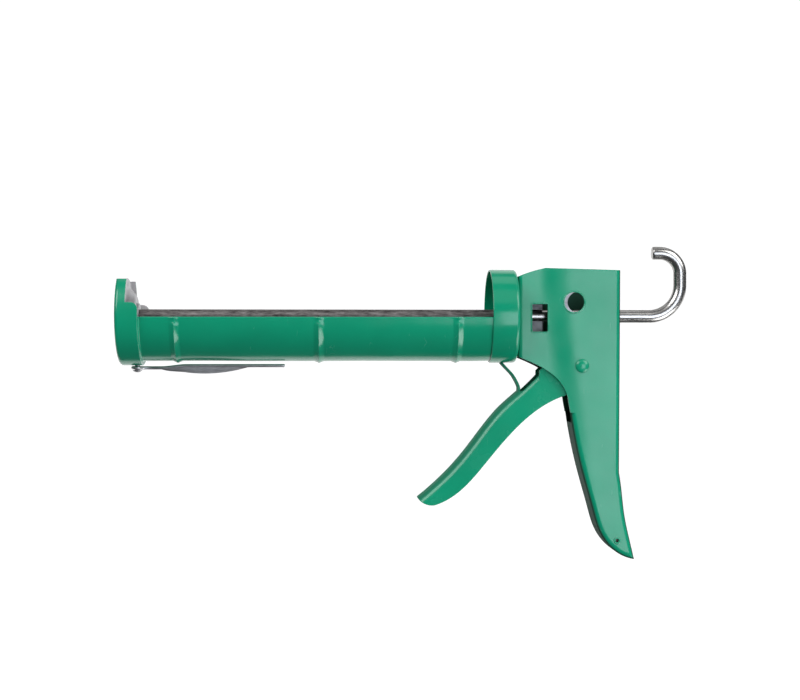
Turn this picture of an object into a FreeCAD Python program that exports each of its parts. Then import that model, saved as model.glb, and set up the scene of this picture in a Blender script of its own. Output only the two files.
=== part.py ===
import FreeCAD, Part
import math
import os

os.makedirs("parts", exist_ok=True)

# A hand caulking gun with a ratchet push rod, in millimetres.
# +X runs back along the barrel to the hook, +Z is up, and -Y is the side with the cutter hole.
# The origin is on the barrel axis, on the collar's inner face, where the cartridge base seats.

# ---- overall sizes ----
seat_to_cap = 234.8            # collar's inner face to the cap's inner face
frame_width = 24.0             # over the two cheeks
sheet = 1.2                    # frame, trigger and cap sheet
tube_wall = 1.0                # cradle and collar sheet

# ---- clearances ----
running = 0.05                 # radial, shaft in a hole
seat_fit = 0.05                # radial, one pressed cup over another
side_gap = 0.4                 # cutter plate to cheek
end_play = 0.1                 # axial, a washer on a turning face
rod_gap = 0.3                  # pawl nose to rod, and wire to cap

# ---- cradle ----
cradle_bore = 26.1             # radius
cradle_edge_drop = 1.0         # how far the open edges lie below the axis
front_rib_inset = 33.1         # from the cap; the middle rib is half way
back_rib_inset = 35.3          # from the collar
rib_height = 1.2
rib_width = 4.8

# ---- front cap ----
cap_stand_off = 1.3            # cap's bore outside the cradle's tube
cap_edge_radius = 2.2          # rounding of the pressed front edge
cap_flat_height = 21.4         # the top is cut off flat here
cap_step_height = 7.4          # above this the skirt is shallow
cap_skirt_deep = 13.5
cap_skirt_shallow = 6.3
cap_shoulder_radius = 4.0
slot_width = 20.0

# ---- collar ----
collar_depth = 15.0
collar_corner = 2.4            # outer corner radius
collar_hole_room = 0.6         # round the rod

# ---- push rod and piston ----
rod_radius = 4.0
stub_radius = 3.0
stub_tail = 0.5                # stub beyond the nut
tooth_pitch = 4.7
tooth_depth = 1.1
tooth_slope = 0.8              # share of the pitch that slopes
teeth_back = 46.0              # the last tooth, inside the frame
hook_rise = 38.4               # hook's top run above the axis
hook_back = 101.6              # centre line of the upright run
hook_low_bend = 19.0
hook_top_bend = 12.4
hook_tip = 84.4
piston_room = 3.6              # rim to cradle, for the cartridge's wall
piston_wall = 1.5
piston_rim = 4.7               # width of the flat rim
piston_hub = 10.9
hub_step = 0.8
piston_dish = 5.3              # hub behind the rim
piston_rest_gap = 2.0          # rim to the cap's inner face
piston_tail_gap = 1.0          # to the collar when drawn fully back
washer_radius = 7.5
washer_wall = 1.2
nut_flats = 10.0
nut_height = 4.4

# ---- frame ----
flange_gap = 11.0              # between the two front flanges
top_bend = 3.0                 # outside radius of the sheet's bends
frame_top = 28.7
frame_back = 63.4
grip_front_top = -64.0         # the grip's front is closed below this height
window_x = (9.9, 19.1)
window_z = (-9.4, 7.0)
cutter_x = 35.2
cutter_z = 8.2
cutter_radius = 6.0
rod_exit_gap = 0.4
grip_rivet = (61.0, -134.6)
grip_rivet_radius = 1.7
grip_rivet_rim = 0.6
grip_rivet_head = 0.3
grip_rivet_bore = 1.0
run_up = 20.0                  # blanks run on this far before they are trimmed
tip_draw = 2.5                 # the grip's tip is drawn in more than its sides
tip_lean = 0.1

# ---- rod guide ----
guide_length = 15.1
guide_half_height = 11.0
guide_near = 8.0               # how far it reaches towards the near cheek
guide_chamfer = 0.8
guide_lip_low = 1.0            # how far the slot's edges lap over the rod
guide_lip_high = 0.3
guide_rivet_radius = 2.0
guide_head_radius = 3.2
guide_head_height = 1.2
guide_rivet_height = 7.4

# ---- trigger ----
pivot = (39.9, -29.9)
pivot_radius = 3.0
rivet_dome_radius = 4.6
rivet_dome_height = 1.9
trigger_swing = 30.0           # degrees
trigger_bend = 4.6             # outside radius of the web's bends
trigger_back = 9.75            # behind the pivot
stop_gap = 0.1
tongue_half_width = 5.0
bush_radius = 4.2
pawl_arm = 18.7                # pivot to pawl pin
pawl_pin_radius = 1.5
pawl_boss = 4.5
pawl_half_width = 3.0
pawl_eye = 3.0
nose_reach = 7.5
nose_depth = 4.0
nose_slope = 1.6
pawl_neck = (2.0, 2.2)
cutter_plate_offset = 2.5      # plate's hole behind the frame's hole at rest
cutter_plate_bore = 6.3
cutter_plate_rim = 3.2
cutter_rivet_radius = 1.2
cutter_rivet_arm = 6.6
cutter_head_radius = 2.0
cutter_head_height = 1.2
spring_wire = 0.7              # radius
spring_radius = 5.4
spring_coils = 4
coil_open = 2.3                # coil pitch over the wire's radius
leg_draw = 0.9                 # a leg is drawn down a little from the coil
web_leg = (1.5, 6.0)           # back leg's end before the web and below the pivot
trigger_leg = (6.0, -52.0)     # end of the leg inside the trigger
pawl_spring_wire = 0.4
pawl_spring_radius = 2.4
pawl_spring_coils = 3
bush_leg = (1.0, 5.0)          # leg's end over the bush
nose_leg = (6.0, 1.0)          # leg's end before and below the pawl pin

# ---- seal piercing pin ----
pin_inset = 10.0               # pin's axis behind the cap's front face
pin_rivet_radius = 1.5
pin_rivet_head = 3.0
pin_rivet_inner_head = 1.9
pin_rivet_head_height = 1.4
pin_rivet_inner_height = 0.8
eye_wire = 1.2
wire_radius = 1.0
wire_gap = 0.5                 # wire below the ribs
wire_reach = 88.0              # pin's axis to the tip
wire_taper = 0.6
wire_blunt = 0.7               # tip's radius
blade_drop = 4.9               # blade's edge below the wire
blade_reach = (12.0, 39.4, 68.3)
blade_wall = 1.2

# ---- worked out from the above ----
half_width = frame_width / 2
half_inside = half_width - sheet
plate_out = half_inside - side_gap           # cutter plate's outer face
trigger_half = plate_out - sheet             # trigger cheek's outer face
trigger_inside = trigger_half - sheet
cradle_radius = cradle_bore + tube_wall
cap_bore = cradle_radius + cap_stand_off
cap_radius = cap_bore + sheet
cap_inner_x = -seat_to_cap
cap_front_x = cap_inner_x - sheet
rib_places = (cap_inner_x + front_rib_inset, cap_inner_x / 2, -back_rib_inset)
collar_hole = rod_radius + collar_hole_room
collar_bore = cradle_radius + seat_fit
collar_radius = collar_bore + tube_wall
collar_back = tube_wall
flange_x = collar_back + sheet
stub_fit = stub_radius + running
piston_radius = cradle_bore - piston_room
rim_front = cap_inner_x + piston_rest_gap
hub_front = rim_front + piston_dish
hub_back = hub_front + piston_wall
shoulder_x = hub_back + washer_wall + 2 * end_play
travel = -(shoulder_x + piston_tail_gap)
guide_back = flange_x + guide_length
guide_slot_low = guide_lip_low - rod_radius
guide_slot_high = rod_radius - guide_lip_high
half_swing = math.radians(trigger_swing / 2)
pawl_pin = (pivot[0] + pawl_arm * math.sin(half_swing), pivot[1] + pawl_arm * math.cos(half_swing))
pawl_rise = pawl_arm * (1 - math.cos(half_swing))
nose_top = -rod_radius - rod_gap - pawl_rise
pin_axis = cap_front_x + pin_inset
eye_ring = pin_rivet_radius + running + eye_wire
eye_height = -(cap_radius + rod_gap + eye_wire)
wire_height = -(cradle_radius + rib_height + wire_gap + wire_radius)
blade_deep = wire_height - blade_drop
blade_x = [pin_axis + reach for reach in blade_reach]

BIG = 400.0
X = FreeCAD.Vector(1, 0, 0)
Y = FreeCAD.Vector(0, 1, 0)
Z = FreeCAD.Vector(0, 0, 1)


def vec(x, y, z):
    return FreeCAD.Vector(x, y, z)


def box(x0, x1, y0, y1, z0, z1):
    """A box between the given limits."""
    return Part.makeBox(x1 - x0, y1 - y0, z1 - z0, vec(x0, y0, z0))


def cylinder(radius, start, end):
    """A round bar from one point to another."""
    along = end - start
    return Part.makeCylinder(radius, along.Length, start, along)


def side_bar(radius, x, z, y0, y1):
    """A round bar across the gun."""
    return cylinder(radius, vec(x, y0, z), vec(x, y1, z))


def side_curve(points):
    """A smooth curve through (x, z) points in the side plane."""
    curve = Part.BSplineCurve()
    curve.interpolate([vec(x, 0, z) for x, z in points])
    return curve.toShape()


def side_lines(points):
    """Straight edges through (x, z) points in the side plane."""
    ends = [vec(x, 0, z) for x, z in points]
    return [Part.makeLine(a, b) for a, b in zip(ends[:-1], ends[1:])]


def side_arc(start, middle, end):
    """A circular arc through three (x, z) points."""
    return Part.Arc(*[vec(x, 0, z) for x, z in (start, middle, end)]).toShape()


def slab(edges, y0, y1):
    """The closed side outline, given thickness from y0 to y1."""
    wire = Part.Wire(Part.__sortEdges__(edges))
    face = Part.Face(wire)
    face.translate(vec(0, y0, 0))
    return face.extrude(vec(0, y1 - y0, 0))


def turned(points):
    """A ring whose (x, radius) outline turns about the barrel axis."""
    corners = [vec(x, 0, r) for x, r in points]
    return Part.Face(Part.makePolygon(corners + corners[:1])).revolve(vec(0, 0, 0), X, 360)


def disc(radius, bore, x0, x1):
    """A washer on the barrel axis."""
    solid = cylinder(radius, vec(x0, 0, 0), vec(x1, 0, 0))
    return solid.cut(cylinder(bore, vec(x0, 0, 0), vec(x1, 0, 0)))


def side_ring(radius, bore, x, z, y0, y1):
    """A washer or tube across the gun."""
    return side_bar(radius, x, z, y0, y1).cut(side_bar(bore, x, z, y0, y1))


def dome(radius, height, base, way):
    """A rivet's domed head: the cap of a sphere standing on its base point along way."""
    ball = (radius * radius + height * height) / (2 * height)
    centre = base - way * (ball - height)
    return Part.makeSphere(ball, centre).common(cylinder(radius, base, base + way * height))


def fuse(solids):
    """Joins solids into one clean solid."""
    return solids[0].fuse(solids[1:]).removeSplitter()


def rounded(solid, radius, test):
    """Rounds the edges whose middle point passes the test."""
    chosen = [e for e in solid.Edges if test(e.valueAt((e.FirstParameter + e.LastParameter) / 2), e)]
    return solid.makeFillet(radius, chosen)


def offset_line(points, distance):
    """The (x, z) points moved sideways, to the right of their direction, by a distance."""
    moved = []
    for i, (x, z) in enumerate(points):
        x0, z0 = points[max(i - 1, 0)]
        x1, z1 = points[min(i + 1, len(points) - 1)]
        length = math.hypot(x1 - x0, z1 - z0)
        moved.append((x + (z1 - z0) / length * distance, z - (x1 - x0) / length * distance))
    return moved


# ---- barrel ----

def cradle():
    """The half tube that holds the cartridge, with outward ribs and a wider end inside the cap."""
    flare = cap_bore - seat_fit - cradle_radius
    flare_end = cap_front_x + cap_skirt_deep
    turn_in = cap_edge_radius - sheet
    back = -collar_corner
    line = [(cap_inner_x, flare - turn_in), (cap_inner_x + turn_in, flare)]
    line += [(flare_end - flare, flare), (flare_end, 0.0)]
    for place in rib_places:
        line += [(place - rib_width / 2, 0.0), (place, rib_height), (place + rib_width / 2, 0.0)]
    line.append((back, 0.0))
    outer = [(x, cradle_radius + rise) for x, rise in line]
    inner = [(x, cradle_bore + rise) for x, rise in line]
    solid = turned(outer + inner[::-1])
    solid = solid.cut(box(-BIG, BIG, -BIG, BIG, -cradle_edge_drop, BIG))
    return solid.cut(cylinder(pin_rivet_radius, vec(pin_axis, 0, -BIG), vec(pin_axis, 0, 0)))


def front_cap():
    """The pressed cap: a cup with a flat-cut top, a stepped skirt and an open nozzle slot."""
    skirt_end = cap_front_x + cap_skirt_deep
    solid = cylinder(cap_radius, vec(cap_front_x, 0, 0), vec(skirt_end, 0, 0))
    solid = rounded(solid, cap_edge_radius, lambda p, e: abs(p.x - cap_front_x) < 0.01)
    hollow = cylinder(cap_bore, vec(cap_inner_x, 0, 0), vec(skirt_end, 0, 0))
    hollow = rounded(hollow, cap_edge_radius - sheet, lambda p, e: abs(p.x - cap_inner_x) < 0.01)
    solid = solid.cut(hollow)
    solid = solid.cut(box(-BIG, BIG, -BIG, BIG, cap_flat_height, BIG))
    step_x = cap_front_x + cap_skirt_shallow
    round_x = skirt_end - cap_shoulder_radius
    low = cap_step_height - cap_shoulder_radius
    turn = cap_shoulder_radius * math.sqrt(0.5)
    step = cap_step_height
    edges = side_lines([(BIG, low), (BIG, BIG), (step_x, BIG), (step_x, step), (round_x, step)])
    edges.append(side_arc((round_x, step), (round_x + turn, low + turn), (skirt_end, low)))
    edges += side_lines([(skirt_end, low), (BIG, low)])
    solid = solid.cut(slab(edges, -BIG, BIG))
    slot = cylinder(slot_width / 2, vec(-BIG, 0, 0), vec(skirt_end, 0, 0))
    slot = slot.fuse(box(-BIG, skirt_end, -slot_width / 2, slot_width / 2, 0, BIG))
    solid = solid.cut(slot)
    return solid.cut(cylinder(pin_rivet_radius, vec(pin_axis, 0, -BIG), vec(pin_axis, 0, 0)))


def rear_collar():
    """The cup over the cradle's back end, with a plate that the cartridge seats on."""
    solid = cylinder(collar_radius, vec(-collar_depth, 0, 0), vec(collar_back, 0, 0))
    solid = rounded(solid, collar_corner, lambda p, e: abs(p.x - collar_back) < 0.01)
    hollow = cylinder(collar_bore, vec(-collar_depth, 0, 0), vec(0, 0, 0))
    hollow = rounded(hollow, collar_corner - tube_wall, lambda p, e: abs(p.x) < 0.01)
    return solid.cut(hollow).cut(cylinder(collar_hole, vec(-BIG, 0, 0), vec(BIG, 0, 0)))


# ---- frame ----

grip_back_line = [(62.6, -94.0), (64.2, -105.3), (65.9, -119.7), (68.9, -134.0), (71.7, -146.1)]
grip_front_line = [(71.7, -146.1), (60.1, -141.2), (51.1, -130.4), (46.3, -116.1), (40.3, -94.6)]
grip_front_line += [(35.4, -73.1), (32.9, -58.0)]
lip_line = [(31.8, -52.0), (27.4, -40.6), (20.0, -33.5), (9.6, -27.8), (collar_back, -24.2)]
top_line = [(collar_back, 23.4), (9.6, 26.6), (18.0, frame_top)]


def frame_outline():
    """The cheek's true outline: open lower lip, collar edge, top, back and grip."""
    lip_end = lip_line[0]
    grip_end = grip_front_line[-1]
    edges = [side_curve(grip_back_line), side_curve(grip_front_line), side_curve(lip_line)]
    edges += side_lines([grip_end, lip_end])
    edges += side_lines([lip_line[-1], top_line[0]])
    edges.append(side_arc(*top_line))
    edges += side_lines([top_line[-1], (frame_back, frame_top - sheet), grip_back_line[0]])
    return edges


def frame_blank(inset):
    """The closed blank that the frame is cut from, drawn in by inset on its bent edges."""
    front_x = collar_back + inset
    back = offset_line([(frame_back, frame_top - sheet)] + grip_back_line, inset)
    front = offset_line(grip_front_line, inset)
    tip_in = inset * tip_draw
    back[-1] = (back[-1][0] - tip_in * tip_lean, back[-1][1] + tip_in)
    front[0] = back[-1]
    high = frame_top + run_up
    edges = side_lines([front[-1], (front_x, front[-1][1]), (front_x, high), (back[0][0], high)] + back[:2])
    return edges + [side_curve(back[1:]), side_curve(front)]


def bent_edges(point, edge, half, front_x):
    """True for the long edges of a blank along which the sheet is bent."""
    on_side = abs(abs(point.y) - half) < 0.01
    flange = abs(point.x - front_x) < 0.01
    grip = point.z < grip_front_top
    back = point.x > frame_back - top_bend and point.z < frame_top + run_up - top_bend
    return on_side and edge.Length > top_bend and (flange or grip or back)


def frame_shell():
    """One folded sheet: two cheeks, a back web, front flanges and the closed grip."""
    outside = slab(frame_blank(0.0), -half_width, half_width)
    outside = rounded(outside, top_bend, lambda p, e: bent_edges(p, e, half_width, collar_back))
    inside = slab(frame_blank(sheet), -half_inside, half_inside)
    inside = rounded(inside, top_bend - sheet, lambda p, e: bent_edges(p, e, half_inside, flange_x))
    solid = outside.cut(inside).common(slab(frame_outline(), -half_width, half_width))
    solid = solid.cut(box(0, guide_back, -flange_gap / 2, flange_gap / 2, -BIG, BIG))
    mouth = trigger_half + side_gap
    solid = solid.cut(box(flange_x, frame_back - half_width, -mouth, mouth, grip_front_top, 0))
    solid = solid.cut(box(*window_x, -half_width, -half_inside + sheet, *window_z))
    solid = solid.cut(side_bar(cutter_radius, cutter_x, cutter_z, -half_width, 0))
    solid = solid.cut(side_bar(pivot_radius, pivot[0], pivot[1], -BIG, BIG))
    solid = solid.cut(side_bar(grip_rivet_radius, grip_rivet[0], grip_rivet[1], -BIG, BIG))
    for x, z in guide_rivet_places():
        solid = solid.cut(side_bar(guide_rivet_radius, x, z, 0, BIG))
    return solid.cut(cylinder(rod_radius + rod_exit_gap, vec(-BIG, 0, 0), vec(BIG, 0, 0)))


def guide_rivet_places():
    """The two rivets above and below the rod, half way along the guide."""
    return [(flange_x + guide_length / 2, side * guide_rivet_height) for side in (-1, 1)]


def rod_guide():
    """The zinc block behind the window: bored for the rod, and slotted open on the near side."""
    solid = box(flange_x, guide_back, -guide_near, half_inside, -guide_half_height, guide_half_height)
    near = [e for e in solid.Edges if abs(e.BoundBox.Center.y + guide_near) < 0.01]
    solid = solid.makeChamfer(guide_chamfer, near)
    in_bend = [e for e in solid.Edges if e.BoundBox.ZLength > guide_half_height and
               math.hypot(e.BoundBox.Center.x - flange_x, e.BoundBox.Center.y - half_inside) < 0.01]
    solid = solid.makeChamfer(top_bend - sheet, in_bend)
    solid = solid.cut(cylinder(rod_radius + running, vec(0, 0, 0), vec(guide_back, 0, 0)))
    solid = solid.cut(box(0, guide_back, -guide_near, 0, guide_slot_low, guide_slot_high))
    for x, z in guide_rivet_places():
        solid = solid.cut(side_bar(guide_rivet_radius, x, z, guide_near / 2, BIG))
    return solid


def guide_rivets():
    """Two rivets through the far cheek into the guide block, with domed heads outside."""
    rivets = []
    for x, z in guide_rivet_places():
        shank = side_bar(guide_rivet_radius, x, z, guide_near / 2, half_width)
        head = dome(guide_head_radius, guide_head_height, vec(x, half_width, z), Y)
        rivets.append(shank.fuse(head))
    return Part.makeCompound(rivets)


def pivot_rivet():
    """The trigger's pivot: a rivet across the frame with a dome on each cheek."""
    x, z = pivot
    shank = side_bar(pivot_radius, x, z, -half_width, half_width)
    near = dome(rivet_dome_radius, rivet_dome_height, vec(x, -half_width, z), -Y)
    far = dome(rivet_dome_radius, rivet_dome_height, vec(x, half_width, z), Y)
    return fuse([shank, near, far])


def pivot_washer():
    """The washer that fills the far side between the trigger and the cheek."""
    return side_ring(washer_radius, pivot_radius + running, pivot[0], pivot[1],
                     trigger_half + end_play, half_inside - end_play)


def grip_tube_rivet():
    """The tube rivet that ties the cheeks together at the foot of the grip."""
    x, z = grip_rivet
    rim = grip_rivet_radius + grip_rivet_rim
    shank = side_bar(grip_rivet_radius, x, z, -half_width, half_width)
    over = half_width + grip_rivet_head
    heads = [side_bar(rim, x, z, side * half_width, side * over) for side in (-1, 1)]
    solid = fuse([shank] + heads)
    return solid.cut(side_bar(grip_rivet_bore, x, z, -BIG, BIG))


# ---- push rod and piston ----

def hook_path():
    """The rod's centre line from its shoulder to the hook's tip: straight runs and tangent arcs."""
    low = (hook_back - hook_low_bend, 0.0)
    low_mid = (low[0] + hook_low_bend * math.sqrt(0.5), hook_low_bend * (1 - math.sqrt(0.5)))
    up = (hook_back, hook_low_bend)
    high = (hook_back, hook_rise - hook_top_bend)
    top_mid = (high[0] - hook_top_bend * (1 - math.sqrt(0.5)), high[1] + hook_top_bend * math.sqrt(0.5))
    top = (hook_back - hook_top_bend, hook_rise)
    edges = side_lines([(shoulder_x, 0.0), low]) + [side_arc(low, low_mid, up)]
    edges += side_lines([up, high]) + [side_arc(high, top_mid, top)]
    return Part.Wire(edges + side_lines([top, (hook_tip, hook_rise)]))


def push_rod():
    """The bent rod with its threaded stub and the ratchet teeth along its underside."""
    start = Part.Wire(Part.makeCircle(rod_radius, vec(shoulder_x, 0, 0), X))
    solid = hook_path().makePipeShell([start], True, True)
    stub_front = hub_front - washer_wall - end_play - nut_height - stub_tail
    solid = solid.fuse(cylinder(stub_radius, vec(stub_front, 0, 0), vec(shoulder_x + stub_radius, 0, 0)))
    root = tooth_depth - rod_radius
    below = -rod_radius - tooth_depth
    count = int((teeth_back - shoulder_x - tooth_pitch) / tooth_pitch)
    slope = tooth_pitch * tooth_slope
    saw = [(teeth_back, below)]
    for i in range(count):
        x = teeth_back - i * tooth_pitch
        saw += [(x, -rod_radius), (x - slope, root), (x - slope, -rod_radius)]
    saw.append((saw[-1][0], below))
    return solid.cut(slab(side_lines(saw + saw[:1]), -rod_radius, rod_radius))


def piston_plate():
    """The dished plate: a flat rim, a cone that rises backwards, and a flat hub with the rod's hole."""
    front = [(rim_front, piston_radius), (rim_front, piston_radius - piston_rim)]
    front += [(hub_front, piston_hub + hub_step), (hub_front, stub_fit)]
    back = [(x + piston_wall, r) for x, r in front]
    return turned(front + back[::-1])


def piston_back_washer():
    """The washer between the rod's shoulder and the hub."""
    return disc(washer_radius, stub_radius, hub_back + end_play, hub_back + end_play + washer_wall)


def piston_front_washer():
    """The washer under the nut."""
    return disc(washer_radius, stub_radius, hub_front - end_play - washer_wall, hub_front - end_play)


def piston_nut():
    """The hexagon nut on the rod's stub."""
    back = hub_front - end_play - washer_wall
    across = nut_flats / math.sqrt(3)
    corners = [vec(back - nut_height, across * math.cos(a), across * math.sin(a))
               for a in [math.radians(60 * i) for i in range(7)]]
    solid = Part.Face(Part.makePolygon(corners)).extrude(vec(nut_height, 0, 0))
    return solid.cut(cylinder(stub_radius, vec(back - nut_height, 0, 0), vec(back, 0, 0)))


# ---- trigger ----

web_line = [(-58.4, -109.2), (-42.2, -94.8), (-26.6, -76.8), (-9.2, -55.2), (2.0, -45.2)]
web_run_on = ((-76.0, -125.6), (14.5, -33.0))
heel_line = [(30.8, -47.5), (2.2, -65.7), (-16.9, -87.2), (-38.4, -108.7), (-47.9, -113.2)]
trigger_top = [(15.9, -31.4), (33.0, -16.0)]
trigger_back_corner = (46.5, -39.5)
toe_middle = (-54.0, -112.6)
tongue_line = [(1.9, -46.0), (2.3, -43.3), (0.9, -39.7), (-1.2, -36.1), (-5.1, -31.8), (-9.6, -26.4)]


def trigger_outline():
    """The trigger cheek's outline: web, shoulder, pawl boss, round the pivot, heel and toe."""
    x, z = pawl_pin
    boss_front = (x - pawl_boss * math.sqrt(0.5), z + pawl_boss * math.sqrt(0.5))
    boss_top = (x, z + pawl_boss)
    boss_back = (x + pawl_boss, z)
    pivot_back = (pivot[0] + trigger_back, pivot[1])
    edges = [side_curve(web_line), side_curve(heel_line)]
    edges += side_lines([web_line[-1]] + trigger_top + [boss_front])
    edges.append(side_arc(boss_front, boss_top, boss_back))
    edges += side_lines([boss_back, pivot_back, trigger_back_corner, heel_line[0]])
    edges.append(side_arc(heel_line[-1], toe_middle, web_line[0]))
    return edges


def channel_blank(inset):
    """A long channel's outline: the web line run on past both its ends, drawn in by inset."""
    inner = offset_line([web_run_on[0]] + web_line + [web_run_on[1]], inset)
    back_x = frame_back + run_up
    high = frame_top
    corners = [inner[-1], (inner[-1][0], high), (back_x, high), (back_x, inner[0][1]), inner[0]]
    return [side_curve(inner)] + side_lines(corners)


def channel(inset, half):
    """The filled channel, with its web's two long edges rounded."""
    edges = channel_blank(inset)
    solid = slab(edges, -half, half)
    length = edges[0].Length
    return rounded(solid, trigger_bend - inset,
                   lambda p, e: abs(abs(p.y) - half) < 0.01 and abs(e.Length - length) < 0.01)


def trigger_lever():
    """The trigger: a channel with a rounded web, and a tongue lanced from it that stops on the collar."""
    solid = channel(0.0, trigger_half).cut(channel(sheet, trigger_inside))
    solid = solid.common(slab(trigger_outline(), -trigger_half, trigger_half))
    root_x, root_z = web_line[-1]
    solid = solid.cut(box(root_x - run_up, frame_back, -trigger_inside, trigger_inside, root_z, frame_top))
    back = offset_line(tongue_line, sheet)
    strip = [side_curve(tongue_line), side_curve(back)]
    strip += side_lines([tongue_line[0], back[0]]) + side_lines([tongue_line[-1], back[-1]])
    tongue = slab(strip, -tongue_half_width, tongue_half_width)
    tongue = tongue.cut(cylinder(collar_radius + stop_gap, vec(-BIG, 0, 0), vec(BIG, 0, 0)))
    solid = fuse([solid, tongue])
    solid = solid.cut(side_bar(pivot_radius + running, pivot[0], pivot[1], -BIG, BIG))
    solid = solid.cut(side_bar(pawl_pin_radius, pawl_pin[0], pawl_pin[1], -BIG, BIG))
    for x, z in cutter_rivet_places():
        solid = solid.cut(side_bar(cutter_rivet_radius, x, z, -BIG, 0))
    return solid


def cutter_rivet_places():
    """The two rivets lie on either side of the pivot, along the trigger's slope."""
    reach = cutter_rivet_arm * math.sqrt(0.5)
    return [(pivot[0] - reach, pivot[1] + reach), (pivot[0] + reach, pivot[1] - reach)]


def cutter_plate():
    """The blade plate on the trigger's near cheek; its hole sits behind the cheek's hole at rest."""
    x = cutter_x + cutter_plate_offset
    eye = cutter_plate_bore + cutter_plate_rim
    y0, y1 = -plate_out, -trigger_half
    low = side_bar(eye, pivot[0], pivot[1], y0, y1)
    high = side_bar(eye, x, cutter_z, y0, y1)
    lean = math.atan2(pivot[0] - x, cutter_z - pivot[1])
    side = (eye * math.cos(lean), eye * math.sin(lean))
    corners = [(pivot[0] - side[0], pivot[1] - side[1]), (pivot[0] + side[0], pivot[1] + side[1]),
               (x + side[0], cutter_z + side[1]), (x - side[0], cutter_z - side[1])]
    solid = fuse([low, high, slab(side_lines(corners + corners[:1]), y0, y1)])
    solid = solid.cut(side_bar(cutter_plate_bore, x, cutter_z, y0, y1))
    solid = solid.cut(side_bar(pivot_radius + running, pivot[0], pivot[1], y0, y1))
    for rx, rz in cutter_rivet_places():
        solid = solid.cut(side_bar(cutter_rivet_radius, rx, rz, y0, y1))
    return solid


def cutter_rivets():
    """Two flush rivets that hold the plate, with their heads inside the channel."""
    rivets = []
    for x, z in cutter_rivet_places():
        shank = side_bar(cutter_rivet_radius, x, z, -plate_out, -trigger_inside)
        head = side_bar(cutter_head_radius, x, z, -trigger_inside, -trigger_inside + cutter_head_height)
        rivets.append(shank.fuse(head))
    return Part.makeCompound(rivets)


def trigger_bush():
    """The tube between the trigger's cheeks, on the pivot rivet."""
    return side_ring(bush_radius, pivot_radius + running, pivot[0], pivot[1], -trigger_inside, trigger_inside)


def pawl_pin_bar():
    """The pin across the trigger's cheeks."""
    return side_bar(pawl_pin_radius, pawl_pin[0], pawl_pin[1], -trigger_half, trigger_half)


def drive_pawl():
    """The pawl: an eye on the pin and a nose whose front face drives the rod's teeth."""
    x, z = pawl_pin
    nose_x = x - nose_reach
    across, up = pawl_neck
    corners = [(nose_x, nose_top), (nose_x, nose_top - nose_depth), (x - across, z - up)]
    corners += [(x + across, z + up), (nose_x + nose_depth, nose_top - nose_slope)]
    solid = slab(side_lines(corners + corners[:1]), -pawl_half_width, pawl_half_width)
    solid = fuse([solid, side_bar(pawl_eye, x, z, -pawl_half_width, pawl_half_width)])
    return solid.cut(side_bar(pawl_pin_radius + running, x, z, -BIG, BIG))


def torsion_spring(centre, wire, radius, pitch, coils, y0, leg_one, leg_two):
    """A coil across the gun about centre, with a straight leg from each end to the given points."""
    x, z = centre
    ends = []
    for target, turn in ((leg_one, 1), (leg_two, -1)):
        dx, dz = target[0] - x, target[1] - z
        away = math.acos(radius / math.hypot(dx, dz))
        ends.append(math.atan2(dz, dx) + turn * away)
    sweep = (ends[1] - ends[0]) % (2 * math.pi)
    height = pitch * (coils + sweep / (2 * math.pi))
    helix = Part.makeHelix(pitch, height, radius)
    helix.rotate(vec(0, 0, 0), X, 90)
    helix.rotate(vec(0, 0, 0), Y, -math.degrees(ends[0]))
    start = helix.Edges[0].valueAt(helix.Edges[0].FirstParameter)
    ahead = helix.Edges[0].tangentAt(helix.Edges[0].FirstParameter)
    circle = Part.Wire(Part.makeCircle(wire, start, ahead))
    coil = Part.Wire(helix.Edges).makePipeShell([circle], True, True)
    coil.translate(vec(x, y0, z))
    helix.translate(vec(x, y0, z))
    last = helix.Edges[-1]
    tips = [helix.Edges[0].valueAt(helix.Edges[0].FirstParameter), last.valueAt(last.LastParameter)]
    solids = [coil]
    for tip, target in zip(tips, (leg_one, leg_two)):
        end = vec(target[0], tip.y, target[1])
        along = (end - tip).normalize()
        solids.append(cylinder(wire * leg_draw, tip - along * wire, end))
    return solids


def trigger_return_spring():
    """The torsion spring on the bush: one leg on the back web, one inside the trigger."""
    pitch = spring_wire * coil_open
    back_leg = (frame_back - sheet - web_leg[0], pivot[1] - web_leg[1])
    return fuse(torsion_spring(pivot, spring_wire, spring_radius, pitch, spring_coils,
                               pitch * spring_coils / 2, back_leg, trigger_leg))


# ---- seal piercing pin ----

def piercing_pin():
    """The wire pin: an eye under the cap, a leaf-shaped blade in the middle and a round tip."""
    centre = vec(pin_axis, 0, eye_height)
    eye = Part.makeTorus(eye_ring, eye_wire, centre, Z)
    near = cap_skirt_deep + wire_radius
    bend = vec(pin_axis + near, 0, eye_height)
    level = vec(pin_axis + 2 * near, 0, wire_height)
    tip = vec(pin_axis + wire_reach - wire_taper, 0, wire_height)
    runs = [cylinder(wire_radius, centre + X * eye_ring, bend), cylinder(wire_radius, bend, level),
            cylinder(wire_radius, level, tip)]
    knees = [Part.makeSphere(wire_radius, bend), Part.makeSphere(wire_radius, level)]
    point = Part.makeCone(wire_radius, wire_blunt, wire_taper, tip, X)
    top = wire_height
    edges = [side_arc((blade_x[0], eye_height), (blade_x[1], blade_deep), (blade_x[2], top))]
    edges += side_lines([(blade_x[2], top), (level.x, top), (blade_x[0], eye_height)])
    blade = slab(edges, -blade_wall / 2, blade_wall / 2)
    return fuse([eye] + runs + knees + [point, blade])


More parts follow.
